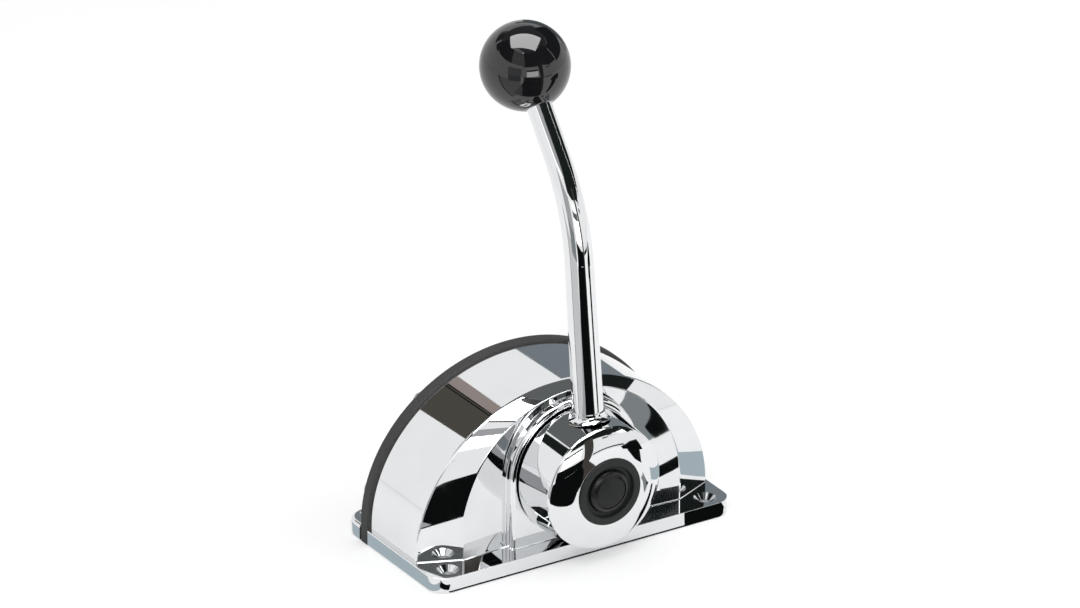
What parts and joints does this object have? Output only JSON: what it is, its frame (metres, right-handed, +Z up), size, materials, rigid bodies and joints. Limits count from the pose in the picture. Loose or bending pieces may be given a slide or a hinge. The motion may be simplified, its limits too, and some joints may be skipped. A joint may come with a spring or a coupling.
{
  "type": "boat throttle control lever",
  "caption": "Top-mounted boat engine control: chromed half-drum housing on a bolted base, a cranked lever with a black ball knob on a round hub, and a push button in the hub.",
  "frame": {"origin": "centre of the four base bolts on the mounting plane", "axes": "+X along the base's long side (the lever swings towards +X and -X), -Y out of the hub's button face, +Z up from the mounting plane"},
  "size_m": [0.1916, 0.1239, 0.2942],
  "materials": {
    "chrome": "mirror polished chrome plating on a zinc casting",
    "chrome_cover": "polished chrome plating",
    "chrome_rod": "mirror polished chrome plating on steel",
    "rubber": "matte charcoal",
    "bezel_rubber": "satin charcoal",
    "button_rubber": "satin black",
    "badge": "satin, bare",
    "black_gloss": "gloss black",
    "stainless": "turned stainless steel",
    "steel": "ground steel, oiled",
    "gear_steel": "sintered steel, greased",
    "spring_steel": "spring steel",
    "black_steel": "blackened steel",
    "zinc_plate": "zinc-plated steel",
    "brass": "turned brass",
    "bronze": "sintered bronze",
    "friction_lining": "woven friction lining"
  },
  "bodies": {
    "base": {"housing": "chrome", "rear_cover": "chrome_cover", "edge_gasket": "rubber", "cover_screws": "stainless", "mechanism_plate": "zinc_plate", "plate_screws": "stainless", "front_bush": "bronze", "rear_bush": "bronze", "shift_pivot_pin": "steel", "throttle_pivot_pin": "steel", "pivot_clips": "spring_steel", "detent_block": "zinc_plate", "detent_spring": "spring_steel", "friction_pad": "friction_lining", "friction_screw": "stainless", "friction_nut": "stainless"},
    "lever": {"lever_hub": "chrome", "lever_rod": "chrome_rod", "ball_knob": "black_gloss", "knob_insert": "brass", "button_bezel": "bezel_rubber", "hub_set_screw": "black_steel", "main_shaft": "steel", "throttle_drive_gear": "gear_steel", "shift_drive_gear": "gear_steel", "detent_disc": "steel", "shaft_washer": "steel", "shaft_clip": "spring_steel", "button_spring": "spring_steel"},
    "button": {"warm_up_button": "button_rubber", "button_badge": "badge", "button_plunger": "steel", "clutch_pin": "steel"},
    "shift_arm": {"shift_arm": "zinc_plate"},
    "throttle_arm": {"throttle_arm": "zinc_plate"},
    "shift_swivel": {"shift_swivel": "brass", "shift_swivel_clip": "spring_steel"},
    "throttle_swivel": {"throttle_swivel": "brass", "throttle_swivel_clip": "spring_steel"},
    "detent_plunger": {"detent_plunger": "steel"}
  },
  "joints": [
    {"name": "lever_swing", "type": "hinge", "parent": "base", "child": "lever", "pos_m": [0, 0, 0.0484], "axis": [0, 1, 0], "range_deg": [-80, 80]},
    {"name": "button_press", "type": "slide", "parent": "lever", "child": "button", "axis": [0, 1, 0], "range_m": [0, 0.004], "stiffness_N_per_m": 1500, "springref_m": -0.003, "deforming": ["button_spring"]},
    {"name": "shift_arm_swing", "type": "hinge", "parent": "base", "child": "shift_arm", "pos_m": [-0.039, 0, 0.03281], "axis": [0, 1, 0], "range_deg": [-45, 45]},
    {"name": "throttle_arm_swing", "type": "hinge", "parent": "base", "child": "throttle_arm", "pos_m": [0.039, 0, 0.03281], "axis": [0, 1, 0], "range_deg": [-45, 45]},
    {"name": "shift_swivel_turn", "type": "hinge", "parent": "shift_arm", "child": "shift_swivel", "pos_m": [-0.075, 0, 0.03281], "axis": [0, 1, 0], "range_deg": [-45, 45]},
    {"name": "throttle_swivel_turn", "type": "hinge", "parent": "throttle_arm", "child": "throttle_swivel", "pos_m": [0.075, 0, 0.03281], "axis": [0, 1, 0], "range_deg": [-45, 45]},
    {"name": "detent_travel", "type": "slide", "parent": "base", "child": "detent_plunger", "axis": [0, 0, 1], "range_m": [-0.0008, 0], "stiffness_N_per_m": 400, "springref_m": -0.0028, "deforming": ["detent_spring"]}
  ],
  "couplings": [
    {"joint": "shift_arm_swing", "follows": "lever_swing", "ratio": -0.55556},
    {"joint": "throttle_arm_swing", "follows": "lever_swing", "ratio": -0.55556},
    {"joint": "shift_swivel_turn", "follows": "lever_swing", "ratio": 0.55556},
    {"joint": "throttle_swivel_turn", "follows": "lever_swing", "ratio": 0.55556}
  ]
}
